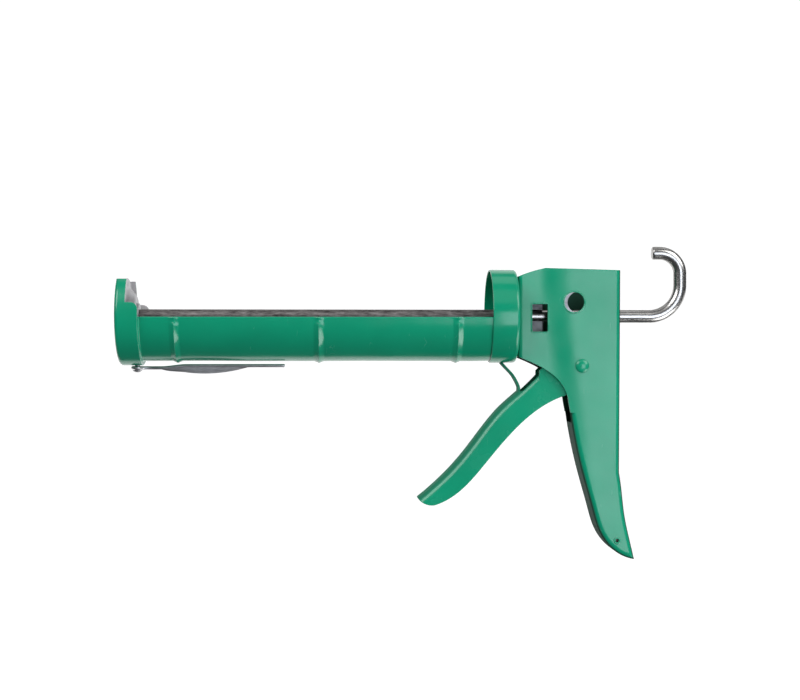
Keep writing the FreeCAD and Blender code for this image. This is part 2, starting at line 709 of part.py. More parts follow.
def piercing_pin_rivet():
    """The upright rivet through cradle and cap that the pin swings on."""
    flare_bore = cap_bore - seat_fit - tube_wall
    head_out = -math.sqrt(flare_bore ** 2 - pin_rivet_inner_head ** 2)
    under = eye_height - eye_wire - end_play
    shank = cylinder(pin_rivet_radius, vec(pin_axis, 0, under), vec(pin_axis, 0, head_out))
    head_in = head_out + pin_rivet_inner_height
    inner = cylinder(pin_rivet_inner_head, vec(pin_axis, 0, head_out), vec(pin_axis, 0, head_in))
    outer = dome(pin_rivet_head, pin_rivet_head_height, vec(pin_axis, 0, under), -Z)
    return fuse([shank, inner, outer])


def pawl_spring():
    """The small torsion spring beside the pawl, with a leg to the bush and one under the nose."""
    start = trigger_inside - end_play - pawl_spring_wire
    room = start - pawl_half_width - end_play - pawl_spring_wire
    pitch = room / (pawl_spring_coils + 1)
    over_bush = (pivot[0] + bush_leg[0], pivot[1] + bush_radius + bush_leg[1])
    at_nose = (pawl_pin[0] - nose_leg[0], pawl_pin[1] - nose_leg[1])
    return fuse(torsion_spring(pawl_pin, pawl_spring_wire, pawl_spring_radius, pitch, pawl_spring_coils,
                               start, over_bush, at_nose))


NODES = {
    "cartridge_cradle": cradle,
    "front_cap": front_cap,
    "rear_collar": rear_collar,
    "frame_shell": frame_shell,
    "rod_guide": rod_guide,
    "guide_rivets": guide_rivets,
    "trigger_pivot_rivet": pivot_rivet,
    "pivot_washer": pivot_washer,
    "grip_tube_rivet": grip_tube_rivet,
    "piercing_pin_rivet": piercing_pin_rivet,
    "piercing_pin": piercing_pin,
    "push_rod": push_rod,
    "piston_plate": piston_plate,
    "piston_front_washer": piston_front_washer,
    "piston_back_washer": piston_back_washer,
    "piston_nut": piston_nut,
    "trigger_lever": trigger_lever,
    "cutter_plate": cutter_plate,
    "cutter_rivets": cutter_rivets,
    "trigger_bush": trigger_bush,
    "pawl_pin": pawl_pin_bar,
    "drive_pawl": drive_pawl,
    "pawl_spring": pawl_spring,
    "trigger_return_spring": trigger_return_spring,
}

for name, make in NODES.items():
    make().exportStep(os.path.join("parts", name + ".step"))
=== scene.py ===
import math

import bmesh
import bpy
import numpy as np
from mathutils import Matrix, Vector


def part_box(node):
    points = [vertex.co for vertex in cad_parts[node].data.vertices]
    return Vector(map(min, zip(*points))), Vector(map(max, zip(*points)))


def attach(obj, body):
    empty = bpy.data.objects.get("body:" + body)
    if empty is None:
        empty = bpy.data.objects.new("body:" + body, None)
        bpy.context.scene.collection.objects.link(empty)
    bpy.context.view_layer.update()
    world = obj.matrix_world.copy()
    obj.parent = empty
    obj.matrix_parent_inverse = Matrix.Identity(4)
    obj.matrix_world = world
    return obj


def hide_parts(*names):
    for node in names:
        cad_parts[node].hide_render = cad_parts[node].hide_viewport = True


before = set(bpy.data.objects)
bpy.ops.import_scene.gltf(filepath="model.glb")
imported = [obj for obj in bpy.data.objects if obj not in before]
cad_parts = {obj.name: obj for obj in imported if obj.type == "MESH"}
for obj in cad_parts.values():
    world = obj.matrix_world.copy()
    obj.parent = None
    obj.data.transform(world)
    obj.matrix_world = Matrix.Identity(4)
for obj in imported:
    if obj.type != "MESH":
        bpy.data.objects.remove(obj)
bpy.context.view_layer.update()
MM = 0.001
TURN = 2 * math.pi


# ---- building surfaces ----

def quads(rows, cols, wrap_rows=False, wrap_cols=False):
    """Four corner numbers for each cell of a grid, going round where a direction wraps."""
    i = np.arange(rows if wrap_rows else rows - 1)[:, None]
    j = np.arange(cols if wrap_cols else cols - 1)[None, :]
    right, below = (j + 1) % cols, (i + 1) % rows
    corners = [i * cols + j, i * cols + right, below * cols + right, below * cols + j]
    return np.stack(corners, -1).reshape(-1, 4)


def solid_band(loops):
    """A closed ring of points for each station: the band between them, with a flat strip over each end.
    The loop's first half lies outside and its second half, backwards, inside."""
    rows, cols = loops.shape[:2]
    faces = [quads(rows, cols, wrap_cols=True)]
    half = cols // 2
    j = np.arange(half - 1)
    for row in (0, rows - 1):
        faces.append(row * cols + np.stack([j, j + 1, cols - 2 - j, cols - 1 - j], -1))
    return loops.reshape(-1, 3), np.concatenate(faces)


def ring(loops, wrap_rows=True):
    """Closed loops that follow each other round an axis, or from one pole to the other."""
    rows, cols = loops.shape[:2]
    return loops.reshape(-1, 3), quads(rows, cols, wrap_rows, True)


def make(name, body, material, surfaces, nodes=(), crease=35):
    """One piece from surfaces in millimetres: welded at its seams and poles, turned outward, and smooth
    but for its creases."""
    starts = np.cumsum([0] + [len(v) for v, f in surfaces[:-1]])
    points = np.concatenate([v for v, f in surfaces]) * MM
    faces = np.concatenate([f + s for (v, f), s in zip(surfaces, starts)])
    mesh = bpy.data.meshes.new(name)
    mesh.from_pydata(points.tolist(), [], faces.tolist())
    work = bmesh.new()
    work.from_mesh(mesh)
    bmesh.ops.remove_doubles(work, verts=work.verts, dist=2e-7)
    bmesh.ops.dissolve_degenerate(work, edges=work.edges, dist=1e-7)
    bmesh.ops.recalc_face_normals(work, faces=work.faces)
    work.to_mesh(mesh)
    work.free()
    mesh.shade_smooth()
    mesh.set_sharp_from_angle(angle=math.radians(crease))
    mesh.materials.append(material)
    made = bpy.data.objects.new(name, mesh)
    bpy.context.scene.collection.objects.link(made)
    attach(made, body)
    if nodes:
        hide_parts(*nodes)
    return made


def soft_line(points, setbacks, steps=6):
    """The corners of a closed line rounded: each is a quadratic curve between the two points a setback
    away from it."""
    p = np.array(points, float)
    d = np.array(setbacks, float)[:, None, None]
    before, after = np.roll(p, 1, 0) - p, np.roll(p, -1, 0) - p
    before /= np.maximum(np.linalg.norm(before, axis=1), 1e-9)[:, None]
    after /= np.maximum(np.linalg.norm(after, axis=1), 1e-9)[:, None]
    t = np.linspace(0, 1, steps)[None, :, None]
    corner = p[:, None, :]
    curve = corner + d * ((1 - t) ** 2 * before[:, None, :] + t ** 2 * after[:, None, :])
    return curve.reshape(-1, 2)


def turned_x(profile, count=144):
    """The (x, radius) profile turned about the barrel axis."""
    a = np.linspace(0, TURN, count, endpoint=False)[:, None]
    x, r = profile[None, :, 0] + 0 * a, profile[None, :, 1]
    return np.stack([x, r * np.cos(a), r * np.sin(a)], -1)


def turned_y(profile, x, z, count=64):
    """The (radius, y) profile turned about an axis that goes across the gun at x, z."""
    a = np.linspace(0, TURN, count, endpoint=False)[:, None]
    r, y = profile[None, :, 0], profile[None, :, 1] + 0 * a
    return np.stack([x + r * np.cos(a), y, z + r * np.sin(a)], -1)


def turned_z(profile, x, count=64):
    """The (radius, z) profile turned about an upright axis at x."""
    a = np.linspace(0, TURN, count, endpoint=False)[:, None]
    r, z = profile[None, :, 0], profile[None, :, 1] + 0 * a
    return np.stack([x + r * np.cos(a), r * np.sin(a), z], -1)


def tube(path, radius, sides=32):
    """A round bar: circles of the given radii square to a path, with the path's ends closed to points."""
    p = np.array(path, float)
    ahead = np.gradient(p, axis=0)
    ahead /= np.maximum(np.linalg.norm(ahead, axis=1), 1e-9)[:, None]
    across = np.array([[0.0, 1.0, 0.0]]) - ahead * ahead[:, 1:2]
    across /= np.maximum(np.linalg.norm(across, axis=1), 1e-9)[:, None]
    up = np.cross(across, ahead)
    a = np.linspace(0, TURN, sides, endpoint=False)[None, :, None]
    r = np.broadcast_to(np.array(radius, float), (len(p),))[:, None, None]
    return ring(p[:, None, :] + r * (np.cos(a) * across[:, None, :] + np.sin(a) * up[:, None, :]), False)


def smoothstep(t):
    """0 below 0, 1 above 1, and an S between: t squared times (3 minus 2t)."""
    t = np.clip(t, 0, 1)
    return t * t * (3 - 2 * t)


# ---- materials ----

def nodes_of(name):
    """A new node material: its tree, its shader and its object coordinates."""
    mat = bpy.data.materials.new(name)
    mat.use_nodes = True
    tree = mat.node_tree
    shader = tree.nodes["Principled BSDF"]
    place = tree.nodes.new("ShaderNodeTexCoord").outputs["Object"]
    return mat, tree, shader, place


def noise(tree, place, scale, detail=3.0, stretch=(1, 1, 1), rough=0.5):
    """A noise value over the object, finer with scale and drawn out by stretch."""
    fit = tree.nodes.new("ShaderNodeMapping")
    fit.inputs["Scale"].default_value = stretch
    tree.links.new(place, fit.inputs["Vector"])
    tex = tree.nodes.new("ShaderNodeTexNoise")
    tex.inputs["Scale"].default_value = scale
    tex.inputs["Detail"].default_value = detail
    tex.inputs["Roughness"].default_value = rough
    tree.links.new(fit.outputs["Vector"], tex.inputs["Vector"])
    return tex.outputs["Fac"]


def ramp(tree, value, low, high, to_low=0.0, to_high=1.0, kind="LINEAR"):
    """The value carried from one range to another, and held at its ends."""
    node = tree.nodes.new("ShaderNodeMapRange")
    node.interpolation_type = kind
    for key, number in zip(("From Min", "From Max", "To Min", "To Max"), (low, high, to_low, to_high)):
        node.inputs[key].default_value = number
    tree.links.new(value, node.inputs["Value"])
    return node.outputs["Result"]


def mix(tree, share, first, second):
    """Two colours mixed by a share."""
    node = tree.nodes.new("ShaderNodeMix")
    node.data_type = "RGBA"
    for socket, value in ((node.inputs[6], first), (node.inputs[7], second)):
        if isinstance(value, tuple):
            socket.default_value = (*value, 1.0)
        else:
            tree.links.new(value, socket)
    tree.links.new(share, node.inputs[0])
    return node.outputs[2]


def sums(tree, kind, first, second):
    """Arithmetic on two values."""
    node = tree.nodes.new("ShaderNodeMath")
    node.operation = kind
    for socket, value in zip(node.inputs, (first, second)):
        if isinstance(value, (int, float)):
            socket.default_value = value
        else:
            tree.links.new(value, socket)
    return node.outputs[0]


def bump(tree, shader, height, distance, strength=1.0, under=None):
    """Small relief from a height, over another relief where there is one."""
    node = tree.nodes.new("ShaderNodeBump")
    node.inputs["Distance"].default_value = distance
    node.inputs["Strength"].default_value = strength
    tree.links.new(height, node.inputs["Height"])
    if under is not None:
        tree.links.new(under, node.inputs["Normal"])
    tree.links.new(node.outputs["Normal"], shader.inputs["Normal"])
    return node.outputs["Normal"]


def edge_mask(tree, radius):
    """1 on edges turned more sharply than the radius, 0 on open faces."""
    soft = tree.nodes.new("ShaderNodeBevel")
    soft.samples = 6
    soft.inputs["Radius"].default_value = radius
    face = tree.nodes.new("ShaderNodeNewGeometry")
    dot = tree.nodes.new("ShaderNodeVectorMath")
    dot.operation = "DOT_PRODUCT"
    tree.links.new(soft.outputs["Normal"], dot.inputs[0])
    tree.links.new(face.outputs["Normal"], dot.inputs[1])
    return ramp(tree, dot.outputs["Value"], 0.995, 0.86), soft.outputs["Normal"]


def scratches(tree, place, scale, stretch):
    """Thin lines where a drawn-out noise passes its middle."""
    value = noise(tree, place, scale, 2.0, stretch)
    away = sums(tree, "ABSOLUTE", sums(tree, "SUBTRACT", value, 0.5), 0.0)
    here = ramp(tree, noise(tree, place, 70, 2.0), 0.60, 0.70)
    return sums(tree, "MULTIPLY", ramp(tree, away, 0.006, 0.0), here)


def paint(name, colour, light, gloss=0.19, coat=0.12, cheeks=None, step=None, taper=None, pale_within=None):
    """Stoved green enamel: clouding, orange peel, dust nibs, fine rubs, and thin, paler paint on edges.
    cheeks: the piece's half width, and how far the colour between its cheeks is darkened as painted shade;
    the paint there is also matt.
    step: height and half width of a soft drawn step down the cheek.
    taper: how steeply the cheek falls towards its front edge.
    A radius about the barrel axis may be given last, inside which the cap is coloured a pale pinkish grey
    instead of green."""
    mat, tree, shader, place = nodes_of(name)
    clouds = noise(tree, place, 22, 4.0)
    base = mix(tree, ramp(tree, clouds, 0.35, 0.7), colour, tuple(c * 0.86 for c in colour))
    edges, rounded = edge_mask(tree, 0.0006)
    broken = sums(tree, "MULTIPLY", edges, ramp(tree, noise(tree, place, 260, 4.0), 0.36, 0.60))
    base = mix(tree, sums(tree, "MULTIPLY", broken, 0.75), base, light)
    rubs = scratches(tree, place, 120, (1.0, 1.0, 0.22))
    base = mix(tree, sums(tree, "MULTIPLY", rubs, 0.45), base, light)
    shine = ramp(tree, noise(tree, place, 60, 4.0), 0.3, 0.7, gloss - 0.03, gloss + 0.07)
    shine = sums(tree, "ADD", shine, sums(tree, "MULTIPLY", rubs, 0.25))
    parts = tree.nodes.new("ShaderNodeSeparateXYZ")
    tree.links.new(place, parts.inputs["Vector"])
    if cheeks:
        half_width, dark = cheeks
        across = sums(tree, "ABSOLUTE", parts.outputs["Y"], 0.0)
        # Between the cheeks the green is darkened as painted shade for the channel's inside and front web,
        # and made matt.
        between = ramp(tree, across, half_width - 0.0006, half_width - 0.0012)
        base = mix(tree, between, base, tuple(c * dark for c in colour))
        shine = sums(tree, "ADD", shine, sums(tree, "MULTIPLY", between, 0.6))
    # Inside the given radius and behind the cap's front, the colour is a pale pinkish grey.
    if pale_within:
        flat = tree.nodes.new("ShaderNodeCombineXYZ")
        tree.links.new(parts.outputs["Y"], flat.inputs["Y"])
        tree.links.new(parts.outputs["Z"], flat.inputs["Z"])
        length = tree.nodes.new("ShaderNodeVectorMath")
        length.operation = "LENGTH"
        tree.links.new(flat.outputs["Vector"], length.inputs[0])
        behind = ramp(tree, parts.outputs["X"], -0.2356, -0.2352)
        inside = ramp(tree, length.outputs["Value"], pale_within + 0.0003, pale_within)
        pale_grey = mix(tree, clouds, (0.80, 0.74, 0.76), (0.68, 0.62, 0.64))
        base = mix(tree, sums(tree, "MULTIPLY", inside, behind), base, pale_grey)
    tree.links.new(base, shader.inputs["Base Color"])
    tree.links.new(shine, shader.inputs["Roughness"])
    shader.inputs["IOR"].default_value = 1.5
    shader.inputs["Coat Weight"].default_value = coat
    shader.inputs["Coat Roughness"].default_value = 0.06
    peel = bump(tree, shader, noise(tree, place, 520, 2.0), 0.00002, 0.6, rounded)
    waves = bump(tree, shader, noise(tree, place, 75, 1.0), 0.00012, 0.5, peel)
    nibs = ramp(tree, noise(tree, place, 900, 1.0), 0.74, 0.80)
    last = bump(tree, shader, nibs, 0.00004, 0.5, waves)
    if step:
        height, reach_each_way = step
        middle = ramp(tree, parts.outputs["Z"], -0.100, 0.020, 0.0385, 0.0235)
        past = sums(tree, "DIVIDE", sums(tree, "SUBTRACT", parts.outputs["X"], middle), reach_each_way)
        bump(tree, shader, ramp(tree, past, -1.0, 1.0, kind="SMOOTHSTEP"), height, 1.0, last)
    if taper:
        along = sums(tree, "SUBTRACT", parts.outputs["X"], parts.outputs["Z"])
        bump(tree, shader, ramp(tree, along, -0.3, 0.3), 0.6 * taper, 1.0, last)
    return mat


def metal(name, colour, dark, rough, grain=(1, 1, 1), spangle=0.0, stain=0.35, scale=400,
          darker_until=None):
    """Bare or plated steel: drawn grain, dull patches, small pits and brighter rubbed edges.
    If an X is given last, the bar is darker, mottled and rougher from its front end up to that X."""
    mat, tree, shader, place = nodes_of(name)
    shader.inputs["Metallic"].default_value = 1.0
    patches = ramp(tree, noise(tree, place, 95, 5.0), 0.42, 0.68)
    fine = noise(tree, place, scale, 5.0, grain, 0.6)
    tone = sums(tree, "MULTIPLY", patches, stain)
    base = mix(tree, tone, colour, dark)
    base = mix(tree, ramp(tree, fine, 0.55, 0.72, 0.0, 0.5 * stain + 0.1), base, dark)
    if spangle:
        cells = tree.nodes.new("ShaderNodeTexVoronoi")
        cells.inputs["Scale"].default_value = 420
        tree.links.new(place, cells.inputs["Vector"])
        flake = tree.nodes.new("ShaderNodeSeparateColor")
        tree.links.new(cells.outputs["Color"], flake.inputs["Color"])
        share = sums(tree, "MULTIPLY", flake.outputs["Red"], spangle)
        base = mix(tree, share, base, tuple(c * 0.7 for c in colour))
    edges, rounded = edge_mask(tree, 0.0004)
    base = mix(tree, sums(tree, "MULTIPLY", edges, 0.5), base, tuple(min(1.0, c * 1.2) for c in colour))
    shine = ramp(tree, fine, 0.25, 0.75, rough * 0.75, rough * 1.35)
    # Darker, mottled colour, and rougher, from the front end up to the given X.
    if darker_until is not None:
        parts = tree.nodes.new("ShaderNodeSeparateXYZ")
        tree.links.new(place, parts.inputs["Vector"])
        front_darkening = ramp(tree, parts.outputs["X"], darker_until, darker_until - 0.01)
        front_mottle = noise(tree, place, 650, 6.0, (0.25, 1, 1), 0.7)
        pits = mix(tree, ramp(tree, front_mottle, 0.36, 0.66), (0.075, 0.068, 0.067), (0.30, 0.28, 0.275))
        base = mix(tree, front_darkening, base, pits)
        shine = sums(tree, "ADD", shine, sums(tree, "MULTIPLY", front_darkening, 0.28))
    tree.links.new(base, shader.inputs["Base Color"])
    tree.links.new(shine, shader.inputs["Roughness"])
    bump(tree, shader, fine, 0.00003, 0.5, rounded)
    return mat


GREEN = (0.003, 0.305, 0.162)
RUBBED = (0.20, 0.56, 0.42)
enamel = paint("green enamel", GREEN, RUBBED)
# The frame and trigger enamels darken the green between their cheeks as painted shade.
cheek_enamel = paint("green enamel of the frame", GREEN, RUBBED, coat=0.0, cheeks=(0.012, 0.16),
                     step=(0.0012, 0.0100))
trigger_enamel = paint("green enamel of the trigger", GREEN, RUBBED, gloss=0.24, coat=0.0,
                       cheeks=(0.0092, 0.62), taper=0.11)
cap_enamel = paint("green enamel, pale grey inside the cap", GREEN, RUBBED, pale_within=0.0285)
zinc = metal("zinc plate", (0.56, 0.555, 0.57), (0.32, 0.315, 0.33), 0.44, spangle=0.4)
# The rod guide is coloured near black: painted shade for where it sits inside the frame.
guide_steel_painted_shade = metal("cast steel darkened as painted shade", (0.145, 0.15, 0.155), (0.07, 0.07, 0.075), 0.5, stain=0.5)
bright_steel = metal("bright bar", (0.50, 0.49, 0.475), (0.27, 0.262, 0.255), 0.24, (0.12, 1, 1),
                     stain=0.35, scale=800, darker_until=-0.004)
wire_steel = metal("drawn wire", (0.62, 0.62, 0.63), (0.30, 0.30, 0.31), 0.42, (0.1, 1, 1),
                   stain=0.4, scale=900)
hard_steel = metal("oiled hard steel", (0.30, 0.30, 0.31), (0.08, 0.08, 0.08), 0.33, stain=0.6)
spring_steel = metal("spring wire", (0.42, 0.42, 0.43), (0.16, 0.16, 0.16), 0.25, stain=0.4, scale=900)

FINISH = {
    "front_cap": cap_enamel, "frame_shell": cheek_enamel, "trigger_lever": trigger_enamel,
    "guide_rivets": enamel, "cartridge_cradle": enamel, "rear_collar": enamel,
    "trigger_pivot_rivet": enamel, "grip_tube_rivet": enamel, "rod_guide": guide_steel_painted_shade,
    "pivot_washer": zinc, "piercing_pin_rivet": zinc, "piston_plate": zinc, "piston_front_washer": zinc,
    "piston_back_washer": zinc, "piston_nut": zinc, "trigger_bush": zinc, "push_rod": bright_steel,
    "piercing_pin": wire_steel, "cutter_plate": hard_steel, "cutter_rivets": hard_steel,
    "pawl_pin": hard_steel, "drive_pawl": hard_steel, "pawl_spring": spring_steel,
    "trigger_return_spring": spring_steel,
}
for node_name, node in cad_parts.items():
    node.data.materials.clear()
    node.data.materials.append(FINISH[node_name])


# ---- sizes: a reader for the imported nodes, and sizes given in millimetres ----

def reach(node_name):
    """A node's lowest and highest corners in millimetres."""
    low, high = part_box(node_name)
    return np.array(low) / MM, np.array(high) / MM


TUBE_WALL = 1.0
TUBE_OUT = 27.1
FLARE_OUT = 28.35
COLLAR_OUT = 28.15
COLLAR_IN = 27.15
RIBS = (-201.7, -117.4, -35.3)
RIB_HEIGHT = 1.2
COLLAR_DEPTH = 15.0
HALF_WIDTH = 12.0
PIVOT = (39.9, -29.9)
PIVOT_SHANK = 3.0
PIVOT_HEAD = 4.6
GRIP_RIVET = (61.0, -134.6)
CUTTER_HOLE = (35.2, 8.2)
WINDOW_X = (9.9, 19.1)
WINDOW_Z = (-9.4, 7.0)
ROD_RADIUS = 4.0
STUB_FRONT = -233.7
SHOULDER = -224.6
HOOK_BACK = 101.6
HOOK_RISE = 38.4
HOOK_TIP = 84.4
LOW_BEND = 19.0
TOP_BEND = 12.4
TOOTH_PITCH = 4.7
TOOTH_DEPTH = 1.1
LAST_TOOTH = 46.0
PISTON_RADIUS = 22.5
PIN_AXIS = -226.0
WIRE_LEVEL = -29.8
EYE_LEVEL = -31.1


# ---- barrel ----

def barrel_loops():
    """Half a tube: at each station along it, an arc of the tube's radius plus the ribs' and the flare's rise.
    A rib is a soft ridge, (1 less the distance over its half width) to the power 1.25, with a dent just
    before the open edges. Two slow sines let the sheet wander a little between the ends."""
    ribs = np.array(RIBS)
    fine = (ribs[:, None] + np.linspace(-3.4, 3.4, 29)[None, :]).ravel()
    low, high = reach("cartridge_cradle")
    front, back = low[0], high[0]
    even = np.linspace(front, back, 150)
    end = front + np.array([0.0, 0.25, 0.6, 1.0, 1.5, 10.2, 10.7, 11.2, 11.8, 12.4, 13.0])
    x = np.unique(np.round(np.concatenate([even, fine, end]), 3))[:, None]
    edge = math.asin(1.0 / TUBE_OUT)
    nose = np.linspace(-math.pi / 2, math.pi / 2, 9)[1:-1]
    across = np.linspace(-math.pi + edge, -edge, 97)
    half = TUBE_WALL / 2
    lap = half / TUBE_OUT
    angle = np.concatenate([np.clip(across, -math.pi + edge + lap, -edge - lap),
                            -edge - lap + lap * np.cos(nose[::-1])])
    level = np.concatenate([half + 0 * across, half * np.sin(nose[::-1])])
    inner = np.concatenate([np.clip(across[::-1], -math.pi + edge + lap, -edge - lap),
                            -math.pi + edge + lap - lap * np.cos(nose)])
    inner_level = np.concatenate([-half + 0 * across, half * np.sin(nose)])
    angle, level = np.concatenate([angle, inner])[None, :], np.concatenate([level, inner_level])[None, :]
    ridge = sum(np.clip(1 - abs(x - place) / 3.1, 0, 1) ** 1.25 for place in ribs)
    from_edge = np.minimum(-edge - angle, angle + math.pi - edge)
    fade = 0.75 + 0.25 * smoothstep(from_edge / 0.12) - 0.75 * np.exp(-((from_edge - 0.09) / 0.045) ** 2)
    flare = (FLARE_OUT - TUBE_OUT) * smoothstep((front + 13.2 - x) / 1.6)
    turn_in = 1.0 * np.clip(1 - (x - front) / 1.0, 0, 1) ** 2
    wander = 0.05 * np.sin(x / 19.0 + 2.2 * angle) + 0.035 * np.sin(x / 7.3 - 3.1 * angle)
    wander = wander * smoothstep((x - front - 16) / 6) * smoothstep((back - 16 - x) / 6)
    radius = TUBE_OUT - half + RIB_HEIGHT * ridge * fade + flare - turn_in + wander + level
    return np.stack([x + 0 * radius, radius * np.cos(angle), radius * np.sin(angle)], -1)


make("half_round_barrel", "frame", enamel, [solid_band(barrel_loops())], ["cartridge_cradle"])

collar_profile = soft_line(
    [(-COLLAR_DEPTH, COLLAR_OUT), (1.0, COLLAR_OUT), (1.0, 4.6), (0.0, 4.6), (0.0, COLLAR_IN),
     (-COLLAR_DEPTH, COLLAR_IN)],
    [0.45, 2.3, 0.35, 0.35, 1.3, 0.45], steps=9)
make("rear_cup", "frame", enamel, [ring(turned_x(collar_profile, 192))], ["rear_collar"])


# ---- frame trim ----

def rivet_profile(shank, head, height, reach_out):
    """A rivet from pole to pole: dome, soft rim, shank, and the same again on the far side."""
    a = np.linspace(0, math.pi / 2, 13)
    rim = head * np.sin(a) * (1 - 0.10 * np.sin(a) ** 6)
    dome = np.stack([rim, -reach_out - height * np.cos(a) ** 1.25], -1)
    seat = np.array([[shank + 0.15, -reach_out + 0.02], [shank, -reach_out + 0.2]])
    near = np.concatenate([dome, seat])
    return np.concatenate([near, near[::-1] * [1, -1]])


pivot_rivet = rivet_profile(PIVOT_SHANK, PIVOT_HEAD, 1.88, HALF_WIDTH)
make("domed_pivot_rivet", "frame", enamel,
     [ring(np.swapaxes(turned_y(pivot_rivet, *PIVOT), 0, 1), False)], ["trigger_pivot_rivet"])

eyelet = soft_line([(2.3, -12.02), (1.95, -12.3), (1.25, -12.3), (1.0, -11.6), (1.0, 11.6), (1.25, 12.3),
                    (1.95, 12.3), (2.3, 12.02), (1.68, 12.01), (1.68, -12.01)],
                   [0.05, 0.3, 0.3, 0.3, 0.3, 0.3, 0.3, 0.05, 0.01, 0.01], steps=6)
make("grip_eyelet", "frame", enamel, [ring(turned_y(eyelet, *GRIP_RIVET))],
     ["grip_tube_rivet"])

lip = soft_line([(6.0, -12.22), (6.55, -12.22), (6.9, -11.99), (6.0, -11.99)], [0.2, 0.25, 0.03, 0.03],
                steps=6)
make("cutter_hole_lip", "frame", enamel, [ring(turned_y(lip, *CUTTER_HOLE, 96))])


def window_rim():
    """A low rounded rim along the window's edge: a half-round section carried round a rectangle with
    soft corners."""
    (left, right), (bottom, top) = WINDOW_X, WINDOW_Z
    corners = [(left, bottom), (right, bottom), (right, top), (left, top)]
    line = soft_line(corners, [0.9] * 4, steps=8)
    centre = line.mean(0)
    ahead = np.roll(line, -1, 0) - np.roll(line, 1, 0)
    out = np.stack([ahead[:, 1], -ahead[:, 0]], -1)
    out /= np.linalg.norm(out, axis=1)[:, None]
    out *= np.sign(((line - centre) * out).sum(1))[:, None]
    a = np.linspace(0, math.pi, 9)
    wide = (0.45 - 0.45 * np.cos(a))[None, :, None]
    place = line[:, None, :] + out[:, None, :] * wide
    y = -11.99 - 0.2 * np.sin(a)[None, :] + 0 * place[:, :, 0]
    return np.stack([place[:, :, 0], y, place[:, :, 1]], -1)


make("window_rim", "frame", enamel, [ring(window_rim())])


# ---- push rod ----

def rod_line():
    """The rod's centre line: straight to the lower bend, a quarter turn, the upright, a quarter turn, and
    the hook's tip. With it the direction and radius at each station, and how far below the axis a
    tooth's flat lies there."""
    count = int((LAST_TOOTH - SHOULDER - TOOTH_PITCH) / TOOTH_PITCH)
    step = np.array([0.0, 0.95, 1.9, 2.85, 3.6, 3.74, 3.80, 4.25])
    teeth = LAST_TOOTH - (np.arange(count)[:, None] * TOOTH_PITCH + step[None, :]).ravel()
    stub = [STUB_FRONT, STUB_FRONT, STUB_FRONT + 0.3, SHOULDER - 0.02, SHOULDER, SHOULDER + 0.25]
    straight = np.concatenate([stub, np.sort(teeth[teeth > SHOULDER + 0.6]),
                               np.linspace(LAST_TOOTH + 0.4, HOOK_BACK - LOW_BEND, 12)])
    a = np.linspace(0, math.pi / 2, 40)[1:]
    run = np.stack([straight, 0 * straight], -1)
    lower = np.stack([HOOK_BACK - LOW_BEND + LOW_BEND * np.sin(a), LOW_BEND - LOW_BEND * np.cos(a)], -1)
    upright = np.stack([np.full(4, HOOK_BACK), np.linspace(LOW_BEND, HOOK_RISE - TOP_BEND, 6)[1:-1]], -1)
    turn = [[HOOK_BACK, HOOK_RISE - TOP_BEND]]
    upper = np.stack([HOOK_BACK - TOP_BEND + TOP_BEND * np.cos(a),
                      HOOK_RISE - TOP_BEND + TOP_BEND * np.sin(a)], -1)
    rounding = np.linspace(0, math.pi / 2, 8)
    top = np.stack([HOOK_TIP + 1.1 * (1 - np.sin(rounding)), np.full(8, HOOK_RISE)], -1)
    line = np.concatenate([run, lower, upright, turn, upper, top, top[-1:]])
    radius = np.full(len(line), ROD_RADIUS)
    radius[:6] = [0.0, 2.6, 3.0, 3.0, 3.75, 4.0]
    radius[-9:-1] = ROD_RADIUS - 1.1 + 1.1 * np.cos(rounding)
    radius[-1] = 0.0
    ahead = np.gradient(line, axis=0)
    ahead[:len(straight)] = [1.0, 0.0]
    ahead[-9:] = [-1.0, 0.0]
    ahead /= np.maximum(np.linalg.norm(ahead, axis=1), 1e-9)[:, None]
    phase = np.mod(LAST_TOOTH - line[:, 0], TOOTH_PITCH)
    slope = 3.77
    tooth = np.where(phase < slope, ROD_RADIUS - TOOTH_DEPTH * phase / slope, ROD_RADIUS)
    toothed = (line[:, 1] == 0) & (line[:, 0] <= LAST_TOOTH) & (line[:, 0] > SHOULDER + TOOTH_PITCH)
    return line, ahead, radius, np.where(toothed, tooth, 99.0)


def rod_surface():
    """Circles square to the rod's line, 64 points each, cut off flat below where a tooth is."""
    line, ahead, radius, flat_at = rod_line()
    a = np.linspace(0, TURN, 64, endpoint=False)[None, :]
    side = radius[:, None] * np.cos(a)
    up = np.maximum(radius[:, None] * np.sin(a), -flat_at[:, None])
    x = line[:, :1] - ahead[:, 1:] * up
    z = line[:, 1:] + ahead[:, :1] * up
    return ring(np.stack([x, side, z], -1), False)


make("ratchet_rod", "push_rod", bright_steel, [rod_surface()], ["push_rod"], crease=28)

dish_profile = soft_line(
    [(-232.8, PISTON_RADIUS), (-232.8, 17.8), (-227.5, 11.7), (-227.5, 3.05), (-226.0, 3.05), (-226.0, 11.7),
     (-231.3, 17.8), (-231.3, PISTON_RADIUS)], [0.6, 1.6, 1.6, 0.3, 0.3, 1.8, 1.8, 0.6], steps=7)
make("piston_dish", "piston", zinc, [ring(turned_x(dish_profile, 144))], ["piston_plate"])


# ---- seal piercing pin ----

